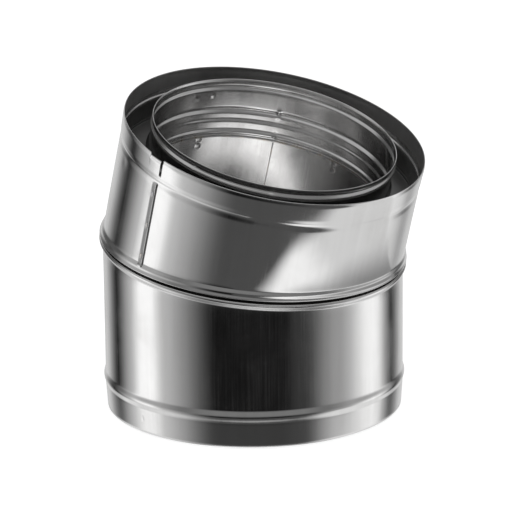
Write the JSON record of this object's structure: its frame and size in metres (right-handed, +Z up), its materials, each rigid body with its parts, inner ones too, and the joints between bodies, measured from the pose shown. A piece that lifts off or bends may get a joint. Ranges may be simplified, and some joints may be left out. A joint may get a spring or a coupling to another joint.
{
  "type": "flue elbow",
  "caption": "Insulated twin-wall flue elbow in bright stainless sheet: straight lower leg, mitred upper leg leaning slightly, socket end on top, spigot end below.",
  "frame": {"origin": "centre of the lower rim of the casing, on the plane the part stands on", "axes": "+Z up along the lower leg; the upper leg leans toward +X by 15 degrees in the XZ plane; +Y completes the frame"},
  "size_m": [0.2758, 0.2558, 0.268],
  "materials": {
    "casing_steel": "bright rolled stainless sheet",
    "liner_steel": "bright rolled stainless sheet",
    "ring_steel": "dull stainless sheet",
    "bracket_steel": "dull stainless strip",
    "weld": "weld metal",
    "mineral_wool": "mineral wool"
  },
  "bodies": {
    "root": {"casing_lower": "casing_steel", "casing_upper": "casing_steel", "liner_lower": "liner_steel", "liner_upper": "liner_steel", "liner_spigot": "liner_steel", "liner_socket": "liner_steel", "insulation_lower": "mineral_wool", "insulation_upper": "mineral_wool", "end_ring_lower": "ring_steel", "end_ring_upper": "ring_steel", "bracket_lower_1": "bracket_steel", "bracket_lower_2": "bracket_steel", "bracket_lower_3": "bracket_steel", "bracket_lower_4": "bracket_steel", "bracket_lower_5": "bracket_steel", "bracket_upper_1": "bracket_steel", "bracket_upper_2": "bracket_steel", "bracket_upper_3": "bracket_steel", "bracket_upper_4": "bracket_steel", "bracket_upper_5": "bracket_steel", "bracket_welds_lower": "weld", "bracket_welds_upper": "weld", "casing_welds_lower": "weld", "casing_welds_upper": "weld", "liner_mitre_weld": "weld", "spigot_weld": "weld", "socket_weld": "weld", "liner_seam_lower": "weld", "liner_seam_upper": "weld"}
  },
  "joints": []
}
